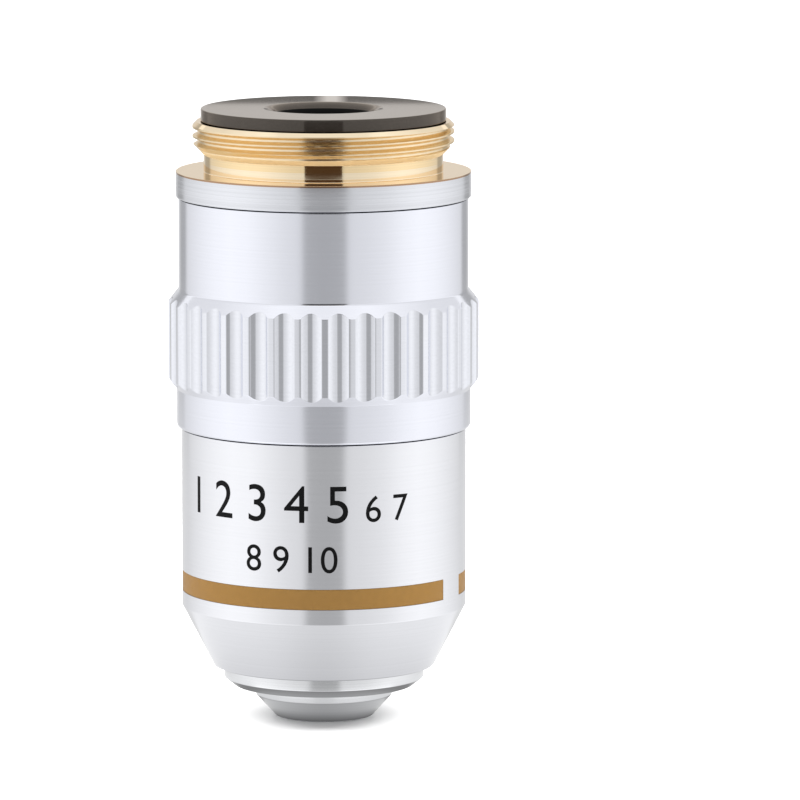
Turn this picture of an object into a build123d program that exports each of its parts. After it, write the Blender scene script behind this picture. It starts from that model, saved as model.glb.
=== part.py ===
from build123d import *
import os
from math import copysign, sqrt

# Ten times microscope objective, standing on its nose with the mounting thread on top.
# Millimetres. Heights count from the mounting shoulder, the face that meets the nosepiece, up positive.
# Half-sections are lists of (radius, height) corners.

# Mounting thread, relief neck and shoulder
THREAD_RADIUS = 10.1
THREAD_LENGTH = 2.55
THREAD_CHAMFER = 0.3
NECK_DEPTH = 0.85
NECK_HEIGHT = 1.3
SHOULDER_WIDTH = 1.3
SHOULDER_RELIEF = 0.05
SHOULDER_RELIEF_MARGIN = 0.15
FLANGE_THICKNESS = 2.0
NECK_WALL = 1.25
SPIGOT_LENGTH = 4.0

# Black stop ring in the rear
STOP_STEP = 0.63
STOP_THICKNESS = 0.98
STOP_WEB = 1.5
STOP_HOLE = 3.72
STOP_FLARE = 0.95
STOP_LEDGE = 0.6
STOP_SKIRT_WALL = 1.0
STOP_SKIRT_LENGTH = 2.6
STOP_BORE_SPARE = 0.6

# Barrel with the fluted grip
BARREL_WALL = 0.95
BARREL_LENGTH = 7.1
GRIP_RISE = 0.8
GRIP_LENGTH = 7.75
GRIP_TOP_CHAMFER = 1.0
GRIP_BOTTOM_CHAMFER = 0.75
FLUTE_COUNT = 36
FLUTE_START_ANGLE = 6.0
FLUTE_RADIUS = 1.15
FLUTE_DEPTH = 0.33
COLLAR_OVERHANG = 0.37
COLLAR_LENGTH = 3.0
COLLAR_ROUND = 0.28
BARREL_CLEARANCE = 0.54

# Front sleeve with its cone and colour band
SLEEVE_SHOULDER = 1.0
SLEEVE_LENGTH = 13.9
SLEEVE_CLEARANCE = 1.14
SLEEVE_SPIGOT_WALL = 1.1
SLEEVE_SPIGOT_LENGTH = 3.65
SLEEVE_SPIGOT_SPARE = 0.3
CONE_LENGTH = 4.75
CONE_END_WALL = 0.7
CONE_WALL = 1.2
BAND_WIDTH = 1.58
BAND_ABOVE_CONE = 1.17
BAND_DEPTH = 0.15
BAND_RECESS = 0.02
BAND_GAP_START = -33.0
BAND_GAP_ANGLE = 14.5

# Inner tube, its flange, shim and clamp ring
TUBE_RADIUS = 7.76
TUBE_WALL = 1.16
TUBE_REACH = 0.95
TUBE_CHAMFER_LENGTH = 0.6
TUBE_CHAMFER_DEPTH = 0.76
TUBE_END_WALL = 1.2
TUBE_ABOVE_FLANGE = 1.4
SHIM_SEAT_WIDTH = 1.3
TUBE_FLANGE_THICKNESS = 2.0
SHIM_THICKNESS = 0.15
CLAMP_STEP = 0.6
CLAMP_THICKNESS = 1.25
CLAMP_SPARE = 0.5

# Front cell, the tip that the objective stands on
TIP_TAPER = 1.55
TIP_CONE_LENGTH = 1.7
CELL_SEAT_WIDTH = 1.25
TIP_STRAIGHT_LENGTH = 0.8
TIP_RIM = 1.35
TIP_LIP = 0.5

# Lenses: radius of each face in the order in which light passes, None where the face is flat.
# A negative radius has its centre below the face. Each lens also has a centre thickness, and its rim follows
# from the wall of the cell that holds it.
FRONT_FACES = (None, -9.3)
FRONT_THICKNESS = 3.4
FRONT_SEAT = 0.6
SECOND_FACES = (-28.34, -12.39)
SECOND_THICKNESS = 2.2
SECOND_CELL_WALL = 2.75
THIRD_FACES = (-6.45, -22.38, -9.73)
THIRD_CROWN_THICKNESS = 3.2
THIRD_FLINT_THICKNESS = 1.2
THIRD_CELL_WALL = 2.35
REAR_FACES = (88.85, -9.86, -24.26)
REAR_CROWN_THICKNESS = 3.0
REAR_FLINT_THICKNESS = 2.2
REAR_CELL_WALL = 0.45

# Lens cells, spacers and rings
SECOND_LIP = 0.75
THIRD_LIP = 0.65
REAR_LIP = 0.75
LENS_LAND = 0.4
RING_THREAD_STEP = 0.6
RING_THICKNESS = 0.9
RING_SINK = 0.15
RING_STEP_GAP = 0.15
SHORT_SPACER_LENGTH = 0.5
LOWER_SPACER_LENGTH = 6.0
SPACER_WALL = 0.85
APERTURE_WIDTH = 2.65
APERTURE_THICKNESS = 0.5
STACK_RING_THICKNESS = 1.2
STACK_RING_SINK = 0.2
STACK_RING_WALL = 1.3
SLOT_WIDTH = 0.8
SLOT_DEPTH = 0.45

# Fits, on the radius, and the small break on turned edges
THREAD_FIT = 0.05
SLIDE_FIT = 0.05
LENS_FIT = 0.02
MOUTH_FIT = 0.09
EDGE_BREAK = 0.12

# Heights worked out from the lengths above
NECK_TOP = NECK_HEIGHT
MOUNT_TOP = NECK_TOP + THREAD_LENGTH
STOP_TOP = MOUNT_TOP + STOP_THICKNESS
FLANGE_BOTTOM = -FLANGE_THICKNESS
SPIGOT_BOTTOM = FLANGE_BOTTOM - SPIGOT_LENGTH
GRIP_TOP = FLANGE_BOTTOM - BARREL_LENGTH
GRIP_BOTTOM = GRIP_TOP - GRIP_LENGTH
COLLAR_BOTTOM = GRIP_BOTTOM - COLLAR_LENGTH
CONE_TOP = COLLAR_BOTTOM - SLEEVE_LENGTH
MOUTH = CONE_TOP - CONE_LENGTH
TUBE_STRAIGHT_END = MOUTH - TUBE_REACH
TUBE_END = TUBE_STRAIGHT_END - TUBE_CHAMFER_LENGTH
CELL_SEAT = TUBE_END + TUBE_END_WALL
TIP_CONE_TOP = TUBE_END - TIP_STRAIGHT_LENGTH
TIP = TIP_CONE_TOP - TIP_CONE_LENGTH
CLAMP_TOP = SPIGOT_BOTTOM - CLAMP_SPARE
TUBE_FLANGE_TOP = CLAMP_TOP - CLAMP_THICKNESS
TUBE_TOP = TUBE_FLANGE_TOP + TUBE_ABOVE_FLANGE
TUBE_FLANGE_BOTTOM = TUBE_FLANGE_TOP - TUBE_FLANGE_THICKNESS
SHIM_SEAT = TUBE_FLANGE_BOTTOM - SHIM_THICKNESS

# Radii of the mount and its stop ring, worked out from the thread
NECK_RADIUS = THREAD_RADIUS - NECK_DEPTH
SHOULDER_INNER = THREAD_RADIUS + SHOULDER_RELIEF_MARGIN
FLANGE_RADIUS = THREAD_RADIUS + SHOULDER_WIDTH
STOP_RADIUS = THREAD_RADIUS - STOP_STEP
STOP_BORE = NECK_RADIUS - NECK_WALL
STOP_SKIRT_RADIUS = STOP_BORE - THREAD_FIT
MOUNT_BORE = STOP_BORE - STOP_LEDGE

# Radii of the barrel and the sleeve, worked out from the inner tube
BARREL_BORE = TUBE_RADIUS + BARREL_CLEARANCE
TUBE_FLANGE_RADIUS = BARREL_BORE + SHIM_SEAT_WIDTH
FLANGE_BORE = TUBE_FLANGE_RADIUS + SLIDE_FIT
SPIGOT_RADIUS = TUBE_FLANGE_RADIUS + CLAMP_STEP
SPIGOT_BORE = SPIGOT_RADIUS + THREAD_FIT
BARREL_RADIUS = SPIGOT_BORE + BARREL_WALL
GRIP_RADIUS = BARREL_RADIUS + GRIP_RISE
SLEEVE_BORE = TUBE_RADIUS + SLEEVE_CLEARANCE
SLEEVE_SPIGOT_RADIUS = SLEEVE_BORE + SLEEVE_SPIGOT_WALL
SLEEVE_SPIGOT_BORE = SLEEVE_SPIGOT_RADIUS + THREAD_FIT
SLEEVE_RADIUS = SLEEVE_SPIGOT_RADIUS + SLEEVE_SHOULDER
COLLAR_RADIUS = SLEEVE_RADIUS + COLLAR_OVERHANG
MOUTH_BORE = TUBE_RADIUS + MOUTH_FIT
CONE_END_RADIUS = MOUTH_BORE + CONE_END_WALL

# Radii of the cells and lenses, worked out from the inner tube's bore
TUBE_BORE = TUBE_RADIUS - TUBE_WALL
CELL_RADIUS = TUBE_BORE - SLIDE_FIT
TIP_STRAIGHT_RADIUS = CELL_RADIUS - CELL_SEAT_WIDTH
TIP_BORE = TIP_STRAIGHT_RADIUS + SLIDE_FIT
TIP_RADIUS = TIP_STRAIGHT_RADIUS - TIP_TAPER
TIP_HOLE = TIP_RADIUS - TIP_RIM
FRONT_RIM = TIP_HOLE + FRONT_SEAT
SECOND_RIM = CELL_RADIUS - SECOND_CELL_WALL - RING_THREAD_STEP
THIRD_RIM = CELL_RADIUS - THIRD_CELL_WALL - RING_THREAD_STEP
REAR_RIM = CELL_RADIUS - REAR_CELL_WALL - RING_THREAD_STEP
SPACER_BORE = CELL_RADIUS - SPACER_WALL
APERTURE_RADIUS = CELL_RADIUS - APERTURE_WIDTH


def turned(outline, rounds=(), arc=360):
    """Turn a closed half-section about the optical axis; rounds lists (corner, radius) pairs to fillet."""
    section = make_face(Polyline(*outline, close=True))
    for corner, radius in rounds:
        nearest = section.vertices().sort_by_distance((*corner, 0))[0]
        section = fillet(nearest, radius)
    return revolve(Plane.XZ * section, Axis.Z, arc)


def tube(inner, outer, bottom, top):
    """Plain ring or tube between two radii and two heights."""
    return turned([(inner, bottom), (outer, bottom), (outer, top), (inner, top)])


def spanner_slots(ring, outer, top):
    """Cut the two slots that a pin spanner turns the ring by, as one groove across its top face."""
    cutter = Box(2 * outer + SLOT_WIDTH, SLOT_WIDTH, 2 * SLOT_DEPTH)
    return ring - Pos(0, 0, top) * cutter


def sag(face_radius, from_axis):
    """Height of a lens face above its vertex, at a distance from the axis."""
    if face_radius is None:
        return 0.0
    drop = abs(face_radius) - sqrt(face_radius**2 - from_axis**2)
    return copysign(drop, face_radius)


def face_curve(vertex, face_radius, rim):
    """Half of a lens face in section, from its vertex on the axis to the lens rim."""
    end = (rim, vertex + sag(face_radius, rim))
    if face_radius is None:
        return Line((0, vertex), end)
    middle = (rim / 2, vertex + sag(face_radius, rim / 2))
    return ThreePointArc((0, vertex), middle, end)


def lens(bottom, bottom_radius, top, top_radius, rim):
    """One lens element between two vertices on the axis, with a ground cylindrical rim."""
    low = face_curve(bottom, bottom_radius, rim)
    high = face_curve(top, top_radius, rim)
    edge = Line(low @ 1, high @ 1)
    axis = Line(low @ 0, high @ 0)
    section = make_face([low, edge, high, axis])
    return revolve(Plane.XZ * section, Axis.Z)


def seat_drop(face_radius, rim):
    """How far the vertex of a lower lens face stands above the flat lip that the lens sits on."""
    return -min(sag(face_radius, rim - LENS_LAND), sag(face_radius, rim))


def ring_contact(vertex, face_radius, rim):
    """Height at which a flat ring of the lens land's width comes to rest on an upper lens face."""
    return vertex + max(sag(face_radius, rim - LENS_LAND), sag(face_radius, rim))


def cell_top(contact):
    """Height of a cell's upper face above the place where its lens ring rests on the lens."""
    return contact + RING_THICKNESS + RING_SINK


def cell_bore(seat, contact, rim, hole):
    """Stepped bore of a cell as corners: ring thread, lens bore, then the lip with its clear hole."""
    ring_bore = rim + RING_THREAD_STEP
    lens_bore = rim + LENS_FIT
    step = contact - RING_STEP_GAP
    return [
        (ring_bore, cell_top(contact)),
        (ring_bore, step),
        (lens_bore, step),
        (lens_bore, seat),
        (hole, seat),
    ]


def lens_cell(bottom, seat, contact, rim):
    """Plain cell that slides in the tube: a cylinder with the stepped bore of its lens."""
    hole = rim - LENS_LAND
    outside = [(hole, bottom), (CELL_RADIUS, bottom), (CELL_RADIUS, cell_top(contact))]
    return turned(outside + cell_bore(seat, contact, rim, hole))


def lens_ring(contact, rim):
    """Screwed ring that holds a lens down on its seat."""
    outer = rim + RING_THREAD_STEP - THREAD_FIT
    top = contact + RING_THICKNESS
    return spanner_slots(tube(rim - LENS_LAND, outer, contact, top), outer, top)


def make_thread_mount():
    """Brass mount: thread cylinder, relief neck, flange whose top is the shoulder, and the lower spigot.

    Near the neck the shoulder is cut back a little, so that a face that clears the thread lies flat on it.
    """
    stop_bore_floor = MOUNT_TOP - STOP_SKIRT_LENGTH - STOP_BORE_SPARE
    return turned(
        [
            (STOP_BORE, MOUNT_TOP),
            (THREAD_RADIUS - THREAD_CHAMFER, MOUNT_TOP),
            (THREAD_RADIUS, MOUNT_TOP - THREAD_CHAMFER),
            (THREAD_RADIUS, NECK_TOP + THREAD_CHAMFER),
            (THREAD_RADIUS - THREAD_CHAMFER, NECK_TOP),
            (NECK_RADIUS, NECK_TOP),
            (NECK_RADIUS, -SHOULDER_RELIEF),
            (SHOULDER_INNER, -SHOULDER_RELIEF),
            (SHOULDER_INNER, 0),
            (FLANGE_RADIUS - EDGE_BREAK, 0),
            (FLANGE_RADIUS, -EDGE_BREAK),
            (FLANGE_RADIUS, FLANGE_BOTTOM + EDGE_BREAK),
            (FLANGE_RADIUS - EDGE_BREAK, FLANGE_BOTTOM),
            (SPIGOT_RADIUS, FLANGE_BOTTOM),
            (SPIGOT_RADIUS, SPIGOT_BOTTOM + THREAD_CHAMFER),
            (SPIGOT_RADIUS - THREAD_CHAMFER, SPIGOT_BOTTOM),
            (MOUNT_BORE, SPIGOT_BOTTOM),
            (MOUNT_BORE, stop_bore_floor),
            (STOP_BORE, stop_bore_floor),
        ]
    )


def make_rear_stop():
    """Black ring: flange on the mount's top face, skirt in its bore, and a hole with a rounded flare."""
    web_bottom = STOP_TOP - STOP_WEB
    skirt_bottom = MOUNT_TOP - STOP_SKIRT_LENGTH
    skirt_inner = STOP_SKIRT_RADIUS - STOP_SKIRT_WALL
    hole_top = (STOP_HOLE, STOP_TOP)
    return turned(
        [
            hole_top,
            (STOP_RADIUS - EDGE_BREAK, STOP_TOP),
            (STOP_RADIUS, STOP_TOP - EDGE_BREAK),
            (STOP_RADIUS, MOUNT_TOP),
            (STOP_SKIRT_RADIUS, MOUNT_TOP),
            (STOP_SKIRT_RADIUS, skirt_bottom),
            (skirt_inner, skirt_bottom),
            (skirt_inner, web_bottom),
            (STOP_HOLE, web_bottom),
        ],
        rounds=[(hole_top, STOP_FLARE)],
    )


def make_grip_barrel():
    """Chromed barrel: upper barrel, fluted grip ring and lower collar round one stepped bore."""
    collar_corner = (COLLAR_RADIUS, COLLAR_BOTTOM)
    sleeve_stop = COLLAR_BOTTOM + SLEEVE_SPIGOT_LENGTH + SLEEVE_SPIGOT_SPARE
    body = turned(
        [
            (SPIGOT_BORE, FLANGE_BOTTOM),
            (BARREL_RADIUS - EDGE_BREAK, FLANGE_BOTTOM),
            (BARREL_RADIUS, FLANGE_BOTTOM - EDGE_BREAK),
            (BARREL_RADIUS, GRIP_TOP),
            (GRIP_RADIUS, GRIP_TOP - GRIP_TOP_CHAMFER),
            (GRIP_RADIUS, GRIP_BOTTOM + GRIP_BOTTOM_CHAMFER),
            (COLLAR_RADIUS, GRIP_BOTTOM),
            collar_corner,
            (SLEEVE_SPIGOT_BORE, COLLAR_BOTTOM),
            (SLEEVE_SPIGOT_BORE, sleeve_stop),
            (BARREL_BORE, sleeve_stop),
            (BARREL_BORE, SHIM_SEAT),
            (FLANGE_BORE, SHIM_SEAT),
            (FLANGE_BORE, TUBE_FLANGE_TOP),
            (SPIGOT_BORE, TUBE_FLANGE_TOP),
        ],
        rounds=[(collar_corner, COLLAR_ROUND)],
    )
    flute_circle = GRIP_RADIUS - FLUTE_DEPTH + FLUTE_RADIUS
    grip_middle = Pos(0, 0, (GRIP_TOP + GRIP_BOTTOM) / 2)
    flute = Cylinder(FLUTE_RADIUS, GRIP_LENGTH)
    places = PolarLocations(flute_circle, FLUTE_COUNT, FLUTE_START_ANGLE)
    return body - [grip_middle * place * flute for place in places]


def band_ring(inner, outer):
    """Open ring of the band's width that leaves the gap between the band's two ends."""
    bottom = CONE_TOP + BAND_ABOVE_CONE
    top = bottom + BAND_WIDTH
    outline = [(inner, bottom), (outer, bottom), (outer, top), (inner, top)]
    ring = turned(outline, arc=360 - BAND_GAP_ANGLE)
    return Rot(0, 0, BAND_GAP_START + BAND_GAP_ANGLE) * ring


def make_front_sleeve():
    """Chromed sleeve: spigot into the barrel, plain wall with the band's groove, and cone."""
    inner_cone_end = MOUTH + CONE_WALL
    body = turned(
        [
            (SLEEVE_BORE, COLLAR_BOTTOM + SLEEVE_SPIGOT_LENGTH),
            (SLEEVE_SPIGOT_RADIUS, COLLAR_BOTTOM + SLEEVE_SPIGOT_LENGTH),
            (SLEEVE_SPIGOT_RADIUS, COLLAR_BOTTOM),
            (SLEEVE_RADIUS, COLLAR_BOTTOM),
            (SLEEVE_RADIUS, CONE_TOP),
            (CONE_END_RADIUS, MOUTH),
            (MOUTH_BORE, MOUTH),
            (MOUTH_BORE, inner_cone_end),
            (SLEEVE_BORE, CONE_TOP + CONE_WALL),
        ]
    )
    return body - band_ring(SLEEVE_RADIUS - BAND_DEPTH, SLEEVE_RADIUS + BAND_DEPTH)


def make_lens_tube():
    """Inner tube: flange on the shim, long bore for the lens stack, end wall with the hole for the tip."""
    return turned(
        [
            (TUBE_BORE, TUBE_TOP),
            (TUBE_RADIUS, TUBE_TOP),
            (TUBE_RADIUS, TUBE_FLANGE_TOP),
            (TUBE_FLANGE_RADIUS, TUBE_FLANGE_TOP),
            (TUBE_FLANGE_RADIUS, TUBE_FLANGE_BOTTOM),
            (TUBE_RADIUS, TUBE_FLANGE_BOTTOM),
            (TUBE_RADIUS, TUBE_STRAIGHT_END),
            (TUBE_RADIUS - TUBE_CHAMFER_DEPTH, TUBE_END),
            (TIP_BORE, TUBE_END),
            (TIP_BORE, CELL_SEAT),
            (TUBE_BORE, CELL_SEAT),
        ]
    )


def make_front_cell(seat, contact):
    """Cell of the front lens: flange on the tube's end wall, straight step and tapered tip below it."""
    outside = [
        (TIP_HOLE, TIP),
        (TIP_RADIUS, TIP),
        (TIP_STRAIGHT_RADIUS, TIP_CONE_TOP),
        (TIP_STRAIGHT_RADIUS, CELL_SEAT),
        (CELL_RADIUS, CELL_SEAT),
        (CELL_RADIUS, cell_top(contact)),
    ]
    return turned(outside + cell_bore(seat, contact, FRONT_RIM, TIP_HOLE))


nodes = {
    "thread_mount": make_thread_mount(),
    "rear_stop": make_rear_stop(),
    "grip_barrel": make_grip_barrel(),
    "front_sleeve": make_front_sleeve(),
    "colour_band": band_ring(SLEEVE_RADIUS - BAND_DEPTH, SLEEVE_RADIUS - BAND_RECESS),
    "lens_tube": make_lens_tube(),
    "parfocal_shim": tube(BARREL_BORE, TUBE_FLANGE_RADIUS, SHIM_SEAT, TUBE_FLANGE_BOTTOM),
}

# The clamp ring screws down on the tube's flange inside the barrel's upper thread
clamp = tube(TUBE_RADIUS + SLIDE_FIT, SPIGOT_RADIUS, TUBE_FLANGE_TOP, CLAMP_TOP)
nodes["clamp_ring"] = spanner_slots(clamp, SPIGOT_RADIUS, CLAMP_TOP)

# Lens stack from the tube's end wall upwards
front_low = TIP + TIP_LIP
front_high = front_low + FRONT_THICKNESS
front_contact = ring_contact(front_high, FRONT_FACES[1], FRONT_RIM)
nodes["front_cell"] = make_front_cell(front_low, front_contact)
nodes["front_lens"] = lens(front_low, FRONT_FACES[0], front_high, FRONT_FACES[1], FRONT_RIM)
nodes["front_lens_ring"] = lens_ring(front_contact, FRONT_RIM)

second_bottom = cell_top(front_contact)
second_seat = second_bottom + SECOND_LIP
second_low = second_seat + seat_drop(SECOND_FACES[0], SECOND_RIM)
second_high = second_low + SECOND_THICKNESS
second_contact = ring_contact(second_high, SECOND_FACES[1], SECOND_RIM)
nodes["second_cell"] = lens_cell(second_bottom, second_seat, second_contact, SECOND_RIM)
nodes["second_lens"] = lens(second_low, SECOND_FACES[0], second_high, SECOND_FACES[1], SECOND_RIM)
nodes["second_lens_ring"] = lens_ring(second_contact, SECOND_RIM)

short_bottom = cell_top(second_contact)
third_bottom = short_bottom + SHORT_SPACER_LENGTH
nodes["short_spacer"] = tube(SPACER_BORE, CELL_RADIUS, short_bottom, third_bottom)

third_seat = third_bottom + THIRD_LIP
third_low = third_seat + seat_drop(THIRD_FACES[0], THIRD_RIM)
third_joint = third_low + THIRD_CROWN_THICKNESS
third_high = third_joint + THIRD_FLINT_THICKNESS
third_contact = ring_contact(third_high, THIRD_FACES[2], THIRD_RIM)
nodes["third_cell"] = lens_cell(third_bottom, third_seat, third_contact, THIRD_RIM)
nodes["third_crown"] = lens(third_low, THIRD_FACES[0], third_joint, THIRD_FACES[1], THIRD_RIM)
nodes["third_flint"] = lens(third_joint, THIRD_FACES[1], third_high, THIRD_FACES[2], THIRD_RIM)
nodes["third_lens_ring"] = lens_ring(third_contact, THIRD_RIM)

lower_bottom = cell_top(third_contact)
stop_bottom = lower_bottom + LOWER_SPACER_LENGTH
upper_bottom = stop_bottom + APERTURE_THICKNESS
nodes["lower_spacer"] = tube(SPACER_BORE, CELL_RADIUS, lower_bottom, stop_bottom)
nodes["aperture_stop"] = tube(APERTURE_RADIUS, CELL_RADIUS, stop_bottom, upper_bottom)

# The rear cell hangs from the stack ring at the tube's top, and the upper spacer fills what is left
stack_top = TUBE_TOP - STACK_RING_SINK
rear_top = stack_top - STACK_RING_THICKNESS
rear_contact = rear_top - cell_top(0)
rear_high = rear_contact - ring_contact(0, REAR_FACES[2], REAR_RIM)
rear_joint = rear_high - REAR_FLINT_THICKNESS
rear_low = rear_joint - REAR_CROWN_THICKNESS
rear_seat = rear_low - seat_drop(REAR_FACES[0], REAR_RIM)
rear_bottom = rear_seat - REAR_LIP
nodes["upper_spacer"] = tube(SPACER_BORE, CELL_RADIUS, upper_bottom, rear_bottom)
nodes["rear_cell"] = lens_cell(rear_bottom, rear_seat, rear_contact, REAR_RIM)
nodes["rear_crown"] = lens(rear_low, REAR_FACES[0], rear_joint, REAR_FACES[1], REAR_RIM)
nodes["rear_flint"] = lens(rear_joint, REAR_FACES[1], rear_high, REAR_FACES[2], REAR_RIM)
nodes["rear_lens_ring"] = lens_ring(rear_contact, REAR_RIM)

stack_outer = TUBE_BORE - THREAD_FIT
stack = tube(TUBE_BORE - STACK_RING_WALL, stack_outer, rear_top, stack_top)
nodes["stack_ring"] = spanner_slots(stack, stack_outer, stack_top)

os.makedirs("parts", exist_ok=True)
for name, solid in nodes.items():
    solid.label = name
    export_step(solid, f"parts/{name}.step")
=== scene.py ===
"""Ten times microscope objective: finished surfaces and a stage round the packed model that gives sizes."""
from dataclasses import dataclass
from math import cos, pi, radians, sin

import bmesh
import bpy
import numpy as np
from bpy.props import FloatProperty, FloatVectorProperty, IntProperty, PointerProperty, StringProperty
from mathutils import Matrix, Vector


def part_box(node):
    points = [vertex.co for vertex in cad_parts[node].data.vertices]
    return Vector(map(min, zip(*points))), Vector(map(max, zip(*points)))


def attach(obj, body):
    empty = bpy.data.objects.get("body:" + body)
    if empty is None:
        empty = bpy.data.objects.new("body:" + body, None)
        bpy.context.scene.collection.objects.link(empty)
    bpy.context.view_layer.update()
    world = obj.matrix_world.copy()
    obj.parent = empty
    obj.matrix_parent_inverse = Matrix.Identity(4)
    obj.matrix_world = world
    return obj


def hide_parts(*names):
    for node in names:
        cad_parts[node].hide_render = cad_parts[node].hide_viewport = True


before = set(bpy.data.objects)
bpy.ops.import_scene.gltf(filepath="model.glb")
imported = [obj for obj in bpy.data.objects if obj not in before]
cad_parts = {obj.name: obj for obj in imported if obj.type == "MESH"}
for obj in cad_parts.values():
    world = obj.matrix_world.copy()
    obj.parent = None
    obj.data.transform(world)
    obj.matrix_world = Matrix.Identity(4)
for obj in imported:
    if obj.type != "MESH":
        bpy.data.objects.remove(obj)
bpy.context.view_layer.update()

bl_info = {
    "name": "Microscope objective",
    "version": (1, 0, 0),
    "blender": (4, 5, 0),
    "location": "3D View > Sidebar > Objective",
    "description": "Threaded mount, fluted barrel, banded sleeve and lens stack of a ten times objective",
    "category": "Add Mesh",
}

MM = 0.001
BODY = "root"
TURN = 2 * pi
FRONT = -pi / 2
# Names under which meshes carry their flat map and their glow
TURNED_MAP = "turned"
GLOW = "glow"


def reach(node):
    """Outer radius of a turned node of the packed model."""
    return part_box(node)[1].x


def foot(node):
    """Lowest height of a node of the packed model."""
    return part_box(node)[0].z


def head(node):
    """Highest height of a node of the packed model."""
    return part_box(node)[1].z


# Sizes of the turned pieces that their boxes don't give, as the construction has them
THREAD_RADIUS = 10.1 * MM
THREAD_CHAMFER = 0.3 * MM
THREAD_RIM = 0.32 * MM
THREAD_FADE = 0.12 * MM
RUN_OUT = 0.42 * MM
EDGE_STRIP = 0.14 * MM
NECK_RADIUS = 9.25 * MM
NECK_TOP = 1.3 * MM
NECK_FILLET = 0.06 * MM
NECK_MIDDLE = 0.75 * MM
SPIGOT_CHAMFER = 0.3 * MM
STOP_BORE = 8.0 * MM
STOP_BORE_FLOOR = 0.65 * MM
MOUNT_BORE = 7.4 * MM
STOP_SKIRT_RADIUS = 7.95 * MM
STOP_SKIRT_INNER = 6.95 * MM
STOP_WEB = 1.5 * MM
STOP_HOLE = 3.72 * MM
STOP_FLARE = 0.95 * MM
BARREL_RADIUS = 11.2 * MM
GRIP_TOP = -9.1 * MM
GRIP_BOTTOM = -16.85 * MM
GRIP_TOP_CHAMFER = 1.0 * MM
GRIP_BOTTOM_CHAMFER = 0.75 * MM
GRIP_FILLET = 0.3 * MM
COLLAR_RADIUS = 11.37 * MM
COLLAR_ROUND = 0.28 * MM
BARREL_BORE = 8.3 * MM
SLEEVE_SPIGOT_RADIUS = 10.0 * MM
SLEEVE_SPIGOT_SPARE = 0.3 * MM
SLEEVE_BORE = 8.9 * MM
CONE_TOP = -33.75 * MM
CONE_END_RADIUS = 8.55 * MM
CONE_WALL = 1.2 * MM
MOUTH_BORE = 7.85 * MM
BAND_DEPTH = 0.15 * MM
BAND_ROUND = 0.03 * MM
GROOVE_LIP = 0.01 * MM
GROOVE_END_STEP = 0.02 * MM
TUBE_RADIUS = 7.76 * MM
TUBE_BORE = 6.6 * MM
TUBE_CHAMFER_LENGTH = 0.6 * MM
TUBE_CHAMFER_DEPTH = 0.76 * MM
TUBE_FLANGE_THICKNESS = 2.0 * MM
TUBE_ABOVE_FLANGE = 1.4 * MM
CELL_LEDGE = 1.2 * MM
TIP_RADIUS = 3.75 * MM
TIP_STRAIGHT_RADIUS = 5.3 * MM
TIP_CONE_LENGTH = 1.7 * MM
TIP_HOLE = 2.4 * MM
RING_STEP_GAP = 0.15 * MM
RING_THREAD_STEP = 0.6 * MM
FIT = 0.05 * MM
LENS_FIT = 0.02 * MM

# Places that follow from the boxes of the packed model
FLANGE_RADIUS = reach("thread_mount")
FLANGE_BOTTOM = head("grip_barrel")
MOUNT_TOP = head("thread_mount")
GRIP_RADIUS = reach("grip_barrel")
COLLAR_BOTTOM = foot("grip_barrel")
SLEEVE_RADIUS = reach("front_sleeve")
MOUTH = foot("front_sleeve")
SHIM_SEAT = foot("parfocal_shim")
CLAMP_SEAT = foot("clamp_ring")
SPIGOT_RADIUS = reach("clamp_ring")
TUBE_FLANGE_RADIUS = reach("lens_tube")
TUBE_END = foot("lens_tube")
CELL_SEAT = TUBE_END + CELL_LEDGE
TIP = foot("front_cell")

# Face radii of each lens from below, None where flat; a negative radius has its centre below the face
LENS_FACES = {
    "front_lens": (None, -9.3 * MM),
    "second_lens": (-28.34 * MM, -12.39 * MM),
    "third_crown": (-6.45 * MM, -22.38 * MM),
    "third_flint": (-22.38 * MM, -9.73 * MM),
    "rear_crown": (88.85 * MM, -9.86 * MM),
    "rear_flint": (-9.86 * MM, -24.26 * MM),
}

# How finely curves are stepped
ARC_STEPS = 5
SUPPORT = 0.05 * MM
# Most of a corner's shorter side that its round and then its support row may take
ROUND_SHARE = 0.4
SUPPORT_SHARE = 0.08
SHARP_ANGLE = radians(35)
ROUND_STEPS = 288
THREAD_ROWS = 180
THREAD_CREST = 0.15
THREAD_ROOT = 0.22
LENS_ROWS = 24
LENS_STEPS = 96
FLARE_STEPS = 12
# Angle on the flare past which its finish turns black, as painted shade in the light hole
FLARE_LIT = radians(50)
# Places of the steps, as shares from the middle to the edge, across half a flute and across half a land
FLUTE_STEPS = np.array([0.0, 0.2, 0.4, 0.6, 0.78, 0.9, 0.96, 1.0, 1.04])
LAND_STEPS = np.array([0.7, 0.35])


def length_setting(name, description, default, low=0.0):
    """Setting that holds a length."""
    return FloatProperty(
        name=name, description=description, default=default, min=low, unit="LENGTH", precision=7)


def angle_setting(name, description, default):
    """Setting that holds an angle."""
    return FloatProperty(name=name, description=description, default=default, subtype="ANGLE")


def power_setting(name, description, default):
    """Setting that holds a light's power."""
    return FloatProperty(name=name, description=description, default=default, min=0.0, unit="POWER")


def colour_setting(name, description, default):
    """Setting that holds a colour."""
    return FloatVectorProperty(
        name=name, description=description, default=default, subtype="COLOR", size=3, min=0.0, max=1.0)


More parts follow.
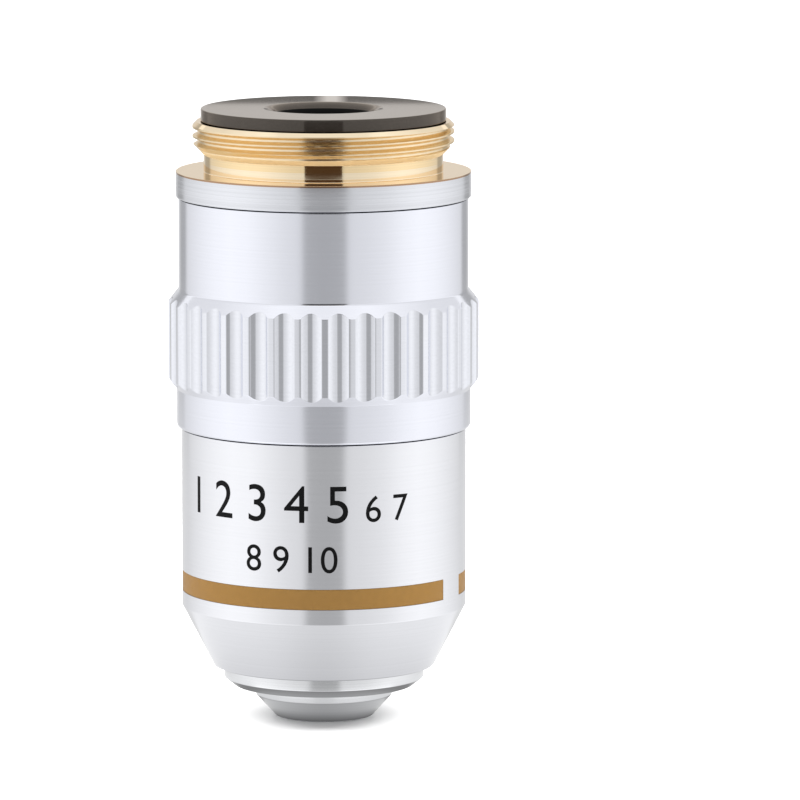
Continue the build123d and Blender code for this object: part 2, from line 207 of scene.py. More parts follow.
class ObjectiveSizes(bpy.types.PropertyGroup):
    """Sizes of the visible detail."""

    thread_pitch: length_setting("Thread pitch", "Rise of the thread in one turn", 0.7056 * MM, 0.1 * MM)
    thread_depth: length_setting("Thread depth", "From crest to root of the mounting thread", 0.45 * MM)
    thread_start: FloatProperty(
        name="Thread start", description="Share of a pitch by which the thread's crest is moved up",
        default=0.317, min=0.0, max=1.0)
    edge_round: length_setting("Edge round", "Radius on the turned outer edges", 0.1 * MM, 0.01 * MM)
    crease_round: length_setting("Crease round", "Radius where a chamfer meets a wall", 0.05 * MM, 0.01 * MM)
    flute_count: IntProperty(name="Flutes", description="Flutes round the grip ring", default=36, min=3)
    flute_radius: length_setting("Flute radius", "Radius of a flute's cutter", 1.15 * MM, 0.1 * MM)
    flute_depth: length_setting("Flute depth", "Depth of a flute below the grip's lands", 0.33 * MM)
    flute_start: angle_setting("Flute start", "Direction of the first flute", radians(6))
    land_round: length_setting("Land round", "Softness of a land's edges", 0.02 * MM, 0.001 * MM)
    joint_gap: length_setting("Joint gap", "Height of the fine groove where two pieces meet", 0.1 * MM)
    joint_depth: length_setting("Joint depth", "Depth of that groove", 0.35 * MM)
    gap_start: angle_setting("Band gap start", "Direction in which the band's gap starts", radians(-33))
    gap_angle: angle_setting("Band gap", "Angle between the two ends of the colour band", radians(14.5))
    numeral_relief: length_setting("Numeral relief", "Thickness of the printed numerals", 0.012 * MM)
    first_line: StringProperty(name="First line", description="Large numerals", default="1 2 3 4 5")
    first_small: StringProperty(name="First line, small", description="Small ones after them", default="6 7")
    second_line: StringProperty(name="Second line", description="Numerals below them", default="8 9 10")


class ObjectiveColours(bpy.types.PropertyGroup):
    """Colours of the finishes."""

    chrome: colour_setting("Chrome", "Bright chrome of the barrel", (0.845, 0.86, 0.93))
    # The grip's chrome is a little darker than the barrel's, as painted shade in the flutes
    grip: colour_setting("Grip chrome", "Chrome of the fluted grip, a little darker", (0.81, 0.825, 0.88))
    sleeve: colour_setting("Sleeve chrome", "Chrome of the sleeve, a little less blue", (0.85, 0.858, 0.895))
    satin: colour_setting("Satin chrome", "Duller chrome of the nose and the tip", (0.768, 0.778, 0.798))
    flange: colour_setting("Flange chrome", "Chrome of the flange, a little dull", (0.79, 0.805, 0.85))
    brass: colour_setting("Brass", "Lacquered brass of the mount", (0.97, 0.82, 0.59))
    thread_brass: colour_setting("Thread brass", "Brass of the thread, deeper in colour", (0.94, 0.78, 0.54))
    # Deeper brass for the neck's upper half: painted reflection of the thread above it. The satin run-out
    # uses the same colour
    neck_brass: colour_setting("Neck brass", "Deeper lacquer on the neck's upper half", (0.96, 0.745, 0.44))
    edge_brass: colour_setting("Edge brass", "Browned brass where the chrome ends", (0.5, 0.32, 0.2))
    anodised: colour_setting("Black anodising", "Stop ring in the rear", (0.055, 0.048, 0.042))
    band: colour_setting("Band enamel", "Colour band", (0.207, 0.107, 0.0215))
    ink: colour_setting("Numerals", "Ink of the numerals", (0.003, 0.003, 0.0035))
    glass: colour_setting("Glass", "Lenses", (0.95, 0.985, 0.98))


class ObjectiveStudio(bpy.types.PropertyGroup):
    """Floor, light and camera."""

    floor_tone: FloatProperty(
        name="Floor tone", description="Lightness of the floor", default=0.9, min=0.0, max=1.0)
    sky: FloatProperty(name="Sky", description="Strength of the white surroundings", default=1.08, min=0.0)
    overhead: power_setting("Overhead light", "Power of the soft light above", 2.0)
    sides: power_setting("Side lights", "Power of the soft light at each side", 5.0)
    camera_distance: length_setting("Camera distance", "From the camera to the point it looks at", 0.61, 0.05)
    camera_height: angle_setting("Camera height", "Angle of the camera above the horizon", radians(7.9))
    focal_length: FloatProperty(name="Focal length", description="In millimetres", default=354.6, min=1.0)
    look_side: length_setting("Look to the side", "How far beside the axis the camera looks", 5.9 * MM, -1.0)
    look_height: length_setting("Look height", "Height at which the camera looks", -17.9 * MM, -1.0)


@dataclass
class Corner:
    """Corner of a half-section: distance from the axis, height, radius of its round, and finish after it.

    Distance and height are numbers, or arrays with one value for each direction round the axis.
    """

    across: object
    height: object
    round: float = 0.0
    finish: int = 0


def black_run(*places):
    """Sharp corners, each followed by the black finish that a piece lists second."""
    return [Corner(*place, finish=1) for place in places]


def unit(vectors):
    """Vectors of length one in the same directions."""
    return vectors / np.linalg.norm(vectors, axis=-1, keepdims=True)


def corner_rows(before, here, after, radius):
    """Rows that round one corner.

    With u and w the directions to the neighbours and h half the angle between them, the arc of radius R
    touches the sides at R / tan h from the corner, about a centre at R / sin h along the bisector. Its points
    swing from one touching point to the other by spherical interpolation. A support row on each side keeps
    the straight runs flat.
    """
    u, w = unit(before - here), unit(after - here)
    room = np.minimum(np.linalg.norm(before - here, axis=-1), np.linalg.norm(after - here, axis=-1))
    half = np.arccos(np.clip(np.sum(u * w, axis=-1), -1, 1)) / 2
    touch = np.minimum(radius / np.tan(half), ROUND_SHARE * room)
    true_radius = touch * np.tan(half)
    centre = here + unit(u + w) * (true_radius / np.sin(half))[:, None]
    first, last = here + u * touch[:, None] - centre, here + w * touch[:, None] - centre
    swing = (pi - 2 * half)[None, :, None]
    share = np.linspace(0, 1, ARC_STEPS + 1)[:, None, None]
    arc = centre + (np.sin((1 - share) * swing) * first + np.sin(share * swing) * last) / np.sin(swing)
    beyond = (touch + np.minimum(SUPPORT, SUPPORT_SHARE * room))[:, None]
    return np.concatenate([(here + u * beyond)[None], arc, (here + w * beyond)[None]])


def section_rows(corners, closed=True):
    """Rows of (distance, height) along a half-section with rounded corners, and the finish after each row."""
    columns = max(max(np.size(c.across), np.size(c.height)) for c in corners)
    blank = np.zeros(columns)
    points = np.stack([np.stack([c.across + blank, c.height + blank], axis=-1) for c in corners])
    rows, finishes = [], []
    for index, corner in enumerate(corners):
        loose_end = not closed and index in (0, len(corners) - 1)
        if corner.round == 0 or loose_end:
            block = points[index][None]
        else:
            after = points[(index + 1) % len(corners)]
            block = corner_rows(points[index - 1], points[index], after, corner.round)
        leading = len(block) // 2
        rows.append(block)
        finishes += [corners[index - 1].finish] * leading
        finishes += [corner.finish] * (len(block) - leading)
    return np.concatenate(rows), np.array(finishes)


def grid_faces(rows, columns, close_rows=True, close_columns=True):
    """Quads of a grid of points: each joins a point, the next in its row, and the two in the row after."""
    row = np.arange(rows if close_rows else rows - 1)[:, None]
    column = np.arange(columns if close_columns else columns - 1)[None, :]
    next_row, next_column = (row + 1) % rows, (column + 1) % columns
    corners = [(row, column), (row, next_column), (next_row, next_column), (next_row, column)]
    return np.stack([r * columns + c for r, c in corners], axis=-1).reshape(-1, 4)


def grid_map(rows, angles):
    """Corners of a turned grid's faces on its flat map: share of a turn, and metres along the section."""
    along = np.linalg.norm(np.diff(rows, axis=0, append=rows[:1]), axis=-1).mean(axis=1)
    v = np.concatenate([[0], np.cumsum(along)])
    u = np.append(angles, angles[0] + TURN) / TURN
    left, low = np.meshgrid(u[:-1], v[:-1])
    right, high = np.meshgrid(u[1:], v[1:])
    return np.stack([left, low, right, low, right, high, left, high], axis=-1).reshape(-1)


def place_mesh(name, points, faces, finishes, nodes=None, face_finish=None, flat_map=None):
    """Object of a finished piece: smooth faces with sharp creases, on the body, in place of its nodes."""
    mesh = bpy.data.meshes.new(name)
    mesh.from_pydata(points.reshape(-1, 3).tolist(), [], faces)
    for finish_name in finishes:
        mesh.materials.append(finish(finish_name))
    if face_finish is not None:
        mesh.polygons.foreach_set("material_index", face_finish.astype(np.int32))
    if flat_map is not None:
        mesh.uv_layers.new(name=TURNED_MAP).data.foreach_set("uv", flat_map.astype(np.float32))
    mesh.polygons.foreach_set("use_smooth", np.ones(len(mesh.polygons), dtype=bool))
    mesh.set_sharp_from_angle(angle=SHARP_ANGLE)
    if mesh.validate():
        raise RuntimeError(f"the surface of {name} has faulty faces")
    piece = bpy.data.objects.new(name, mesh)
    bpy.context.scene.collection.objects.link(piece)
    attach(piece, BODY)
    if nodes:
        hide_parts(*nodes)


def turned_points(rows, angles):
    """Points of a section swept round the axis: (distance cos a, distance sin a, height) in direction a."""
    across, height = np.broadcast_arrays(rows[..., 0], rows[..., 1] * np.ones(len(angles)))
    return np.stack([across * np.cos(angles), across * np.sin(angles), height], axis=-1)


def turned_piece(name, section, finishes, node, angles=None):
    """Closed ring: a closed section swept through a whole turn, listed so that its outer side runs up."""
    rows, row_finish = section
    angles = even_angles() if angles is None else angles
    points = turned_points(rows, angles)
    faces = grid_faces(len(rows), len(angles)).tolist()
    face_finish = np.repeat(row_finish, len(angles))
    place_mesh(name, points, faces, finishes, [node], face_finish, grid_map(rows, angles))


def even_angles(count=ROUND_STEPS):
    """Directions evenly spread round the axis."""
    return np.arange(count) * TURN / count


def new_finish(name):
    """Material with its node tree and its main shader."""
    material = bpy.data.materials.new(name)
    material.use_nodes = True
    tree = material.node_tree
    return material, tree, tree.nodes["Principled BSDF"]


def feed(tree, node, inputs):
    """Link each input that is given another node's socket, and set each other one to its constant."""
    for name, source in inputs.items():
        if isinstance(source, bpy.types.NodeSocket):
            tree.links.new(source, node.inputs[name])
        else:
            node.inputs[name].default_value = source


def add_node(tree, kind, inputs=None, **options):
    """New shader node of a kind, with its options and its inputs."""
    node = tree.nodes.new("ShaderNode" + kind)
    for option, choice in options.items():
        setattr(node, option, choice)
    feed(tree, node, inputs or {})
    return node


def tool_marks(tree, spacing):
    """Marks of the turning tool: noise over distance from the axis and height, the same all round."""
    place = add_node(tree, "TexCoord").outputs["Object"]
    sideways = add_node(tree, "VectorMath", {0: place, 1: (1, 1, 0)}, operation="MULTIPLY")
    distance = add_node(tree, "VectorMath", {0: sideways.outputs["Vector"]}, operation="LENGTH")
    parts = add_node(tree, "SeparateXYZ", {"Vector": place})
    section = add_node(tree, "CombineXYZ", {"X": distance.outputs["Value"], "Y": parts.outputs["Z"]})
    inputs = {"Vector": section.outputs["Vector"], "Scale": 1 / spacing, "Detail": MARK_DETAIL}
    return add_node(tree, "TexNoise", inputs, noise_dimensions="2D").outputs["Fac"]


def grain(tree, spacing, detail):
    """Grain with no direction: noise over the piece's own place in space."""
    place = add_node(tree, "TexCoord").outputs["Object"]
    inputs = {"Vector": place, "Scale": 1 / spacing, "Detail": detail}
    return add_node(tree, "TexNoise", inputs).outputs["Fac"]


def led_by(tree, shader, marks, colour, darker, roughness, depth=0.0):
    """Let marks lead a shader: its colour from a darker share to the full one, its roughness and relief."""
    tone = add_node(tree, "ValToRGB", {"Fac": marks})
    low, high = tone.color_ramp.elements
    low.position, high.position = MARK_RANGE
    low.color = (*[darker * part for part in colour], 1)
    high.color = (*colour, 1)
    gloss = add_node(tree, "MapRange", {
        "Value": marks, "From Min": MARK_RANGE[0], "From Max": MARK_RANGE[1],
        "To Min": roughness[0], "To Max": roughness[1]})
    feed(tree, shader, {"Base Color": tone.outputs["Color"], "Roughness": gloss.outputs["Result"]})
    if depth:
        relief = add_node(tree, "Bump", {"Height": marks, "Distance": depth})
        feed(tree, shader, {"Normal": relief.outputs["Normal"]})


def turned_metal(
        name, colour, roughness, darker, spacing=0.16 * MM, depth=0.0002 * MM, streak=0.0, glancing=(1, 1, 1),
        metal=1.0):
    """Turned metal: tool marks in tone, gloss and relief, streaked reflections, and a glancing tint."""
    material, tree, shader = new_finish(name)
    feed(tree, shader, {"Metallic": metal, "Specular Tint": (*glancing, 1)})
    led_by(tree, shader, tool_marks(tree, spacing), colour, darker, roughness, depth)
    if streak:
        along = add_node(tree, "Tangent", direction_type="UV_MAP", uv_map=TURNED_MAP)
        feed(tree, shader, {"Anisotropic": streak, "Tangent": along.outputs["Tangent"]})
    return material


def grained_coat(name, colour, roughness, darker, spacing, depth, shine, glint=(1, 1, 1), metal=0.0):
    """Paint, ink or anodising: fine grain in its tone, gloss and relief, and the tint of what it reflects."""
    material, tree, shader = new_finish(name)
    feed(tree, shader, {"Metallic": metal, "Specular IOR Level": shine, "Specular Tint": (*glint, 1)})
    led_by(tree, shader, grain(tree, spacing, MARK_DETAIL), colour, darker, roughness, depth)
    return material


def lens_glass(name, colour, roughness, darker, spacing, index, coating):
    """Polished glass with a faint, uneven tint in the body and a coating that tints what it reflects."""
    material, tree, shader = new_finish(name)
    feed(tree, shader, {"Transmission Weight": 1.0, "IOR": index, "Specular Tint": (*coating, 1)})
    led_by(tree, shader, grain(tree, spacing, detail=1.0), colour, darker, roughness)
    return material


MARK_DETAIL = 3.0
MARK_RANGE = (0.3, 0.7)
FAINT = 0.0001 * MM
# Each finish: how it is made, its colour or the setting that has it, roughness, darker share, other traits
FINISHES = {
    "barrel_chrome": (turned_metal, "chrome", (0.1, 0.14), 0.98, dict(depth=FAINT, streak=0.5)),
    "flange_chrome": (turned_metal, "flange", (0.11, 0.22), 0.9, dict(streak=0.5)),
    # Darker copy of the chrome on the fluted grip: painted shade in the flutes
    "grip_chrome": (turned_metal, "grip", (0.07, 0.11), 0.96, dict(depth=FAINT, streak=0.3)),
    "sleeve_chrome": (turned_metal, "sleeve", (0.1, 0.14), 0.98, dict(depth=FAINT, streak=0.5)),
    "nose_chrome": (turned_metal, "satin", (0.1, 0.16), 0.97, dict(streak=0.5)),
    "lacquered_brass": (
        turned_metal, "brass", (0.05, 0.09), 0.95, dict(streak=0.3, glancing=(0.98, 0.9, 0.8))),
    "thread_brass": (
        turned_metal, "thread_brass", (0.14, 0.24), 0.9, dict(streak=0.3, glancing=(0.96, 0.88, 0.76))),
    "satin_brass": (turned_metal, "neck_brass", (0.38, 0.48), 0.92, dict(metal=0.5)),
    # Upper half of the neck: a deeper copy of the brass, as painted reflection of the thread above it
    "neck_brass": (turned_metal, "neck_brass", (0.05, 0.09), 0.93, dict(streak=0.3)),
    "edge_brass": (turned_metal, "edge_brass", (0.1, 0.18), 0.8, {}),
    "black_anodising": (
        grained_coat, "anodised", (0.05, 0.09), 0.85,
        dict(spacing=0.06 * MM, depth=FAINT, shine=0.68, glint=(1, 0.88, 0.77), metal=0.6)),
    "band_enamel": (
        grained_coat, "band", (0.38, 0.48), 0.94, dict(spacing=0.5 * MM, depth=0.001 * MM, shine=0.25)),
    "numeral_ink": (
        grained_coat, "ink", (0.5, 0.62), 0.6, dict(spacing=0.1 * MM, depth=0.0004 * MM, shine=0.12)),
    # Blackened bores, and painted shade on the faces of the joint grooves and on the lower part of the light
    # hole's flare
    "black_bore": (
        grained_coat, (0.004,) * 3, (0.6, 0.75), 0.85, dict(spacing=0.1 * MM, depth=0.001 * MM, shine=0.05)),
    "dulled_brass": (turned_metal, (0.04, 0.036, 0.032), (0.32, 0.42), 0.7, {}),
    "cell_brass": (turned_metal, (0.8, 0.6, 0.31), (0.2, 0.3), 0.85, {}),
    "shim_steel": (turned_metal, (0.56, 0.57, 0.58), (0.2, 0.3), 0.9, {}),
    "lens_glass": (
        lens_glass, "glass", (0.004, 0.012), 0.97,
        dict(spacing=2.0 * MM, index=1.62, coating=(0.72, 0.6, 1.0))),
}


def finish(name):
    """Finish of that name, made once from the scene's colours."""
    if name in bpy.data.materials:
        return bpy.data.materials[name]
    make, colour, roughness, darker, traits = FINISHES[name]
    if isinstance(colour, str):
        colour = getattr(bpy.context.scene.objective_colours, colour)
    return make(name, colour, roughness, darker, **traits)


def thread_rows(angles, sizes):
    """Rows of the mounting thread: the crest radius less depth x V(t), with t the height / pitch less the
    share of a turn, so that the crest climbs by one pitch in one turn. V is a triangle wave, the angle whose
    cosine is cos 2 pi t over pi, cut flat at crest and root, and it fades out below a plain rim. A chamfer
    at 45 degrees cuts the top, and a cone at 45 degrees to the neck the bottom."""
    height = np.linspace(NECK_TOP, MOUNT_TOP, THREAD_ROWS)[:, None]
    turns = height / sizes.thread_pitch - angles[None, :] / TURN - sizes.thread_start
    wave = np.arccos(np.cos(TURN * turns)) / pi
    share = np.clip((wave - THREAD_CREST) / (1 - THREAD_CREST - THREAD_ROOT), 0, 1)
    ridge = THREAD_RADIUS - sizes.thread_depth * share * ramp(MOUNT_TOP - THREAD_RIM - height, 0, THREAD_FADE)
    run_out = NECK_RADIUS + (height - NECK_TOP)
    top_chamfer = THREAD_RADIUS - THREAD_CHAMFER + (MOUNT_TOP - height)
    across = np.minimum(np.minimum(ridge, run_out), top_chamfer)
    return np.stack(np.broadcast_arrays(across, height), axis=-1)


MOUNT_FINISHES = (
    "lacquered_brass", "flange_chrome", "black_bore", "thread_brass", "edge_brass", "satin_brass",
    "neck_brass")


class OBJECTIVE_OT_thread_mount(bpy.types.Operator):
    """Brass mount with the mounting thread, relief neck, shoulder and chromed flange side"""

    bl_idname = "objective.thread_mount"
    bl_label = "Thread mount"

    def execute(self, context):
        sizes = context.scene.objective_sizes
        angles = even_angles()
        spigot_end = foot("thread_mount")
        brass, chrome, black, deep, bare, satin, neck = range(len(MOUNT_FINISHES))
        below = [
            Corner(MOUNT_BORE, spigot_end),
            Corner(SPIGOT_RADIUS - SPIGOT_CHAMFER, spigot_end),
            Corner(SPIGOT_RADIUS, spigot_end + SPIGOT_CHAMFER),
            Corner(SPIGOT_RADIUS, FLANGE_BOTTOM, finish=chrome),
            Corner(FLANGE_RADIUS, FLANGE_BOTTOM, sizes.edge_round, finish=chrome),
            Corner(FLANGE_RADIUS, -EDGE_STRIP, finish=bare),
            Corner(FLANGE_RADIUS, 0.0, sizes.crease_round),
            Corner(NECK_RADIUS, 0.0, NECK_FILLET),
            # The neck's upper half takes the deeper brass, a painted reflection of the thread above it
            Corner(NECK_RADIUS, NECK_MIDDLE, finish=neck),
            Corner(NECK_RADIUS, NECK_TOP, finish=neck),
        ]
        above = [
            Corner(STOP_BORE, MOUNT_TOP, finish=black),
            Corner(STOP_BORE, STOP_BORE_FLOOR, finish=black),
            Corner(MOUNT_BORE, STOP_BORE_FLOOR, finish=black),
        ]
        lower, lower_finish = section_rows(below, closed=False)
        upper, upper_finish = section_rows(above, closed=False)
        thread = thread_rows(angles, sizes)
        wide = [np.broadcast_to(block, (len(block), len(angles), 2)) for block in (lower, thread, upper)]
        rows = np.concatenate(wide)
        climb = thread[:, 0, 1]
        plain, last = climb > MOUNT_TOP - THREAD_RIM, climb < NECK_TOP + RUN_OUT
        thread_finish = np.select([plain, last], [brass, satin], deep)
        row_finish = np.concatenate([lower_finish, thread_finish, upper_finish])
        turned_piece("mount", (rows, row_finish), MOUNT_FINISHES, "thread_mount", angles)
        return {"FINISHED"}


def stop_flare(top):
    """Corners of the flare into the light hole: a quarter circle of distance R (1 - sin a) and depth
    R (1 - cos a), with the black finish below the part that catches light as painted shade."""
    swing = np.linspace(0, pi / 2, FLARE_STEPS)
    across = STOP_HOLE + STOP_FLARE * (1 - np.sin(swing))
    height = top - STOP_FLARE * (1 - np.cos(swing))
    black = (swing > FLARE_LIT).astype(int)
    return [Corner(*place) for place in zip(across, height, np.zeros(FLARE_STEPS), black)]


class OBJECTIVE_OT_rear_stop(bpy.types.Operator):
    """Black ring in the rear with the flared light hole"""

    bl_idname = "objective.rear_stop"
    bl_label = "Rear stop ring"

    def execute(self, context):
        sizes = context.scene.objective_sizes
        top, bottom, outer = head("rear_stop"), foot("rear_stop"), reach("rear_stop")
        web = top - STOP_WEB
        groove = MOUNT_TOP + sizes.joint_gap / 2
        corners = [
            Corner(STOP_SKIRT_INNER, bottom),
            Corner(STOP_SKIRT_RADIUS, bottom),
            Corner(STOP_SKIRT_RADIUS, MOUNT_TOP),
            # The groove at the ring's foot takes the black finish on its wall and ceiling: painted shade in
            # the gap
            *black_run((outer - sizes.joint_depth, MOUNT_TOP), (outer - sizes.joint_depth, groove)),
            Corner(outer, groove, sizes.crease_round),
            Corner(outer, top, sizes.edge_round),
            Corner(STOP_HOLE + STOP_FLARE + SUPPORT, top),
            *stop_flare(top),
            *black_run((STOP_HOLE, web), (STOP_SKIRT_INNER, web)),
        ]
        finishes = "black_anodising", "black_bore"
        turned_piece("stop_ring", section_rows(corners), finishes, "rear_stop")
        return {"FINISHED"}


def flute_angles(sizes):
    """Directions round the grip: in each flute's pitch, close steps at its edges and wider ones between."""
    pitch = TURN / sizes.flute_count
    ring = GRIP_RADIUS - sizes.flute_depth + sizes.flute_radius
    edge = np.arccos((GRIP_RADIUS**2 + ring**2 - sizes.flute_radius**2) / (2 * GRIP_RADIUS * ring))
    half = np.concatenate([edge * FLUTE_STEPS, pitch / 2 - (pitch / 2 - edge) * LAND_STEPS])
    one = np.concatenate([-half[:0:-1], half, [pitch / 2]])
    return (sizes.flute_start + np.arange(sizes.flute_count)[:, None] * pitch + one[None, :]).reshape(-1)


def flute_radii(angles, sizes):
    """Distance of the fluted wall from the axis: the softened lesser of the land's radius and the near side
    of the cutter's circle, D cos a - sqrt(R^2 - D^2 sin^2 a), with a the angle from the flute's middle."""
    pitch = TURN / sizes.flute_count
    ring = GRIP_RADIUS - sizes.flute_depth + sizes.flute_radius
    off = (angles - sizes.flute_start + pitch / 2) % pitch - pitch / 2
    under_root = np.maximum(sizes.flute_radius**2 - (ring * np.sin(off))**2, 0)
    flute = ring * np.cos(off) - np.sqrt(under_root)
    soft = sizes.land_round
    return -soft * np.logaddexp(-flute / soft, -GRIP_RADIUS / soft)


class OBJECTIVE_OT_grip_barrel(bpy.types.Operator):
    """Chromed barrel with the fluted grip ring and the lower collar"""

    bl_idname = "objective.grip_barrel"
    bl_label = "Grip barrel"

    def execute(self, context):
        sizes = context.scene.objective_sizes
        angles = flute_angles(sizes)
        wall = flute_radii(angles, sizes)
        upper_share = (wall - BARREL_RADIUS) / (GRIP_RADIUS - BARREL_RADIUS)
        lower_share = (wall - COLLAR_RADIUS) / (GRIP_RADIUS - COLLAR_RADIUS)
        sleeve_stop = head("front_sleeve") + SLEEVE_SPIGOT_SPARE
        spigot_bore = SLEEVE_SPIGOT_RADIUS + FIT
        flange_bore = TUBE_FLANGE_RADIUS + FIT
        groove = FLANGE_BOTTOM - sizes.joint_gap
        black, grip = 1, 2
        corners = [
            Corner(spigot_bore, COLLAR_BOTTOM),
            Corner(COLLAR_RADIUS, COLLAR_BOTTOM, COLLAR_ROUND),
            Corner(COLLAR_RADIUS, GRIP_BOTTOM, sizes.crease_round),
            Corner(wall, GRIP_BOTTOM + GRIP_BOTTOM_CHAMFER * lower_share, sizes.crease_round, finish=grip),
            Corner(wall, GRIP_TOP - GRIP_TOP_CHAMFER * upper_share, sizes.crease_round),
            Corner(BARREL_RADIUS, GRIP_TOP, GRIP_FILLET),
            # The groove under the flange takes the black finish on its floor and inner wall: painted shade in
            # the gap
            Corner(BARREL_RADIUS, groove, sizes.crease_round, finish=black),
            Corner(BARREL_RADIUS - sizes.joint_depth, groove, finish=black),
            Corner(BARREL_RADIUS - sizes.joint_depth, FLANGE_BOTTOM),
            Corner(SPIGOT_RADIUS + FIT, FLANGE_BOTTOM),
            Corner(SPIGOT_RADIUS + FIT, CLAMP_SEAT),
            Corner(flange_bore, CLAMP_SEAT),
            Corner(flange_bore, SHIM_SEAT),
            Corner(BARREL_BORE, SHIM_SEAT),
            Corner(BARREL_BORE, sleeve_stop),
            Corner(spigot_bore, sleeve_stop),
        ]
        finishes = "barrel_chrome", "black_bore", "grip_chrome"
        turned_piece("barrel", section_rows(corners), finishes, "grip_barrel", angles)
        return {"FINISHED"}


class OBJECTIVE_OT_front_sleeve(bpy.types.Operator):
    """Chromed sleeve with the band's groove and the cone"""

    bl_idname = "objective.front_sleeve"
    bl_label = "Front sleeve"

    def execute(self, context):
        sizes = context.scene.objective_sizes
        step = GROOVE_END_STEP / SLEEVE_RADIUS
        ends = np.array([sizes.gap_start, sizes.gap_start + sizes.gap_angle]) % TURN
        angles = np.unique(np.concatenate([even_angles(), ends - step, ends + step]))
        from_start = (angles - sizes.gap_start) % TURN
        groove = np.where(from_start < sizes.gap_angle, SLEEVE_RADIUS, SLEEVE_RADIUS - BAND_DEPTH)
        joint = COLLAR_BOTTOM - sizes.joint_gap
        black = 1
        corners = [
            Corner(MOUTH_BORE, MOUTH),
            Corner(CONE_END_RADIUS, MOUTH, sizes.edge_round),
            Corner(SLEEVE_RADIUS, CONE_TOP, sizes.edge_round),
            Corner(SLEEVE_RADIUS, foot("colour_band") - GROOVE_LIP),
            Corner(groove, foot("colour_band")),
            Corner(groove, head("colour_band")),
            Corner(SLEEVE_RADIUS, head("colour_band") + GROOVE_LIP),
            # The groove under the collar takes the black finish on its floor and inner wall: painted shade in
            # the gap
            Corner(SLEEVE_RADIUS, joint, sizes.crease_round, finish=black),
            Corner(SLEEVE_RADIUS - sizes.joint_depth, joint, finish=black),
            Corner(SLEEVE_RADIUS - sizes.joint_depth, COLLAR_BOTTOM),
            Corner(SLEEVE_SPIGOT_RADIUS, COLLAR_BOTTOM),
            Corner(SLEEVE_SPIGOT_RADIUS, head("front_sleeve")),
            Corner(SLEEVE_BORE, head("front_sleeve")),
            Corner(SLEEVE_BORE, CONE_TOP + CONE_WALL),
            Corner(MOUTH_BORE, MOUTH + CONE_WALL),
        ]
        finishes = "sleeve_chrome", "black_bore"
        turned_piece("sleeve", section_rows(corners), finishes, "front_sleeve", angles)
        return {"FINISHED"}


class OBJECTIVE_OT_colour_band(bpy.types.Operator):
    """Enamel band in the sleeve's groove, open at its gap"""

    bl_idname = "objective.colour_band"
    bl_label = "Colour band"

    def execute(self, context):
        sizes = context.scene.objective_sizes
        bottom, top, outer = foot("colour_band"), head("colour_band"), reach("colour_band")
        corners = [
            Corner(SLEEVE_RADIUS - BAND_DEPTH, bottom),
            Corner(outer, bottom, BAND_ROUND),
            Corner(outer, top, BAND_ROUND),
            Corner(SLEEVE_RADIUS - BAND_DEPTH, top),
        ]
        rows, _ = section_rows(corners)
        start = sizes.gap_start + sizes.gap_angle
        angles = np.linspace(start, sizes.gap_start + TURN, ROUND_STEPS)
        points = turned_points(rows, angles)
        faces = grid_faces(len(rows), len(angles), close_columns=False).tolist()
        first_end = (np.arange(len(rows)) * len(angles)).tolist()
        last_end = [index + len(angles) - 1 for index in first_end]
        faces += [first_end, last_end[::-1]]
        place_mesh("band", points, faces, ["band_enamel"], ["colour_band"])
        return {"FINISHED"}


NOSE_FINISHES = ("nose_chrome", "black_bore")


class OBJECTIVE_OT_lens_tube(bpy.types.Operator):
    """Inner tube, whose chamfered end shows in the sleeve's mouth"""

    bl_idname = "objective.lens_tube"
    bl_label = "Lens tube"

    def execute(self, context):
        sizes = context.scene.objective_sizes
        top = head("lens_tube")
        flange_top = top - TUBE_ABOVE_FLANGE
        flange_bottom = flange_top - TUBE_FLANGE_THICKNESS
        tip_bore = TIP_STRAIGHT_RADIUS + FIT
        corners = [
            Corner(tip_bore, TUBE_END),
            Corner(TUBE_RADIUS - TUBE_CHAMFER_DEPTH, TUBE_END, sizes.crease_round),
            Corner(TUBE_RADIUS, TUBE_END + TUBE_CHAMFER_LENGTH, sizes.crease_round),
            Corner(TUBE_RADIUS, flange_bottom),
            Corner(TUBE_FLANGE_RADIUS, flange_bottom),
            *black_run(
                (TUBE_FLANGE_RADIUS, flange_top), (TUBE_RADIUS, flange_top), (TUBE_RADIUS, top),
                (TUBE_BORE, top), (TUBE_BORE, CELL_SEAT), (tip_bore, CELL_SEAT)),
        ]
        turned_piece("nose_tube", section_rows(corners), NOSE_FINISHES, "lens_tube")
        return {"FINISHED"}


class OBJECTIVE_OT_front_cell(bpy.types.Operator):
    """Cell of the front lens, the stepped and tapered tip"""

    bl_idname = "objective.front_cell"
    bl_label = "Front cell"

    def execute(self, context):
        sizes = context.scene.objective_sizes
        lens_bore = reach("front_lens") + LENS_FIT
        ring_bore = reach("front_lens") + RING_THREAD_STEP
        ring_step = foot("front_lens_ring") - RING_STEP_GAP
        cell_radius, cell_top, seat = reach("front_cell"), head("front_cell"), foot("front_lens")
        corners = [
            Corner(TIP_HOLE, TIP, sizes.crease_round),
            Corner(TIP_RADIUS, TIP, sizes.crease_round),
            Corner(TIP_STRAIGHT_RADIUS, TIP + TIP_CONE_LENGTH, sizes.crease_round),
            Corner(TIP_STRAIGHT_RADIUS, CELL_SEAT),
            *black_run(
                (cell_radius, CELL_SEAT), (cell_radius, cell_top), (ring_bore, cell_top),
                (ring_bore, ring_step), (lens_bore, ring_step), (lens_bore, seat), (TIP_HOLE, seat)),
        ]
        turned_piece("tip", section_rows(corners), NOSE_FINISHES, "front_cell")
        return {"FINISHED"}


def sag(radius, across):
    """Height of a lens face above its vertex at a distance d: R - sqrt(R^2 - d^2), with the sign of R."""
    if radius is None:
        return np.zeros_like(across)
    return np.sign(radius) * (abs(radius) - np.sqrt(radius**2 - across**2))


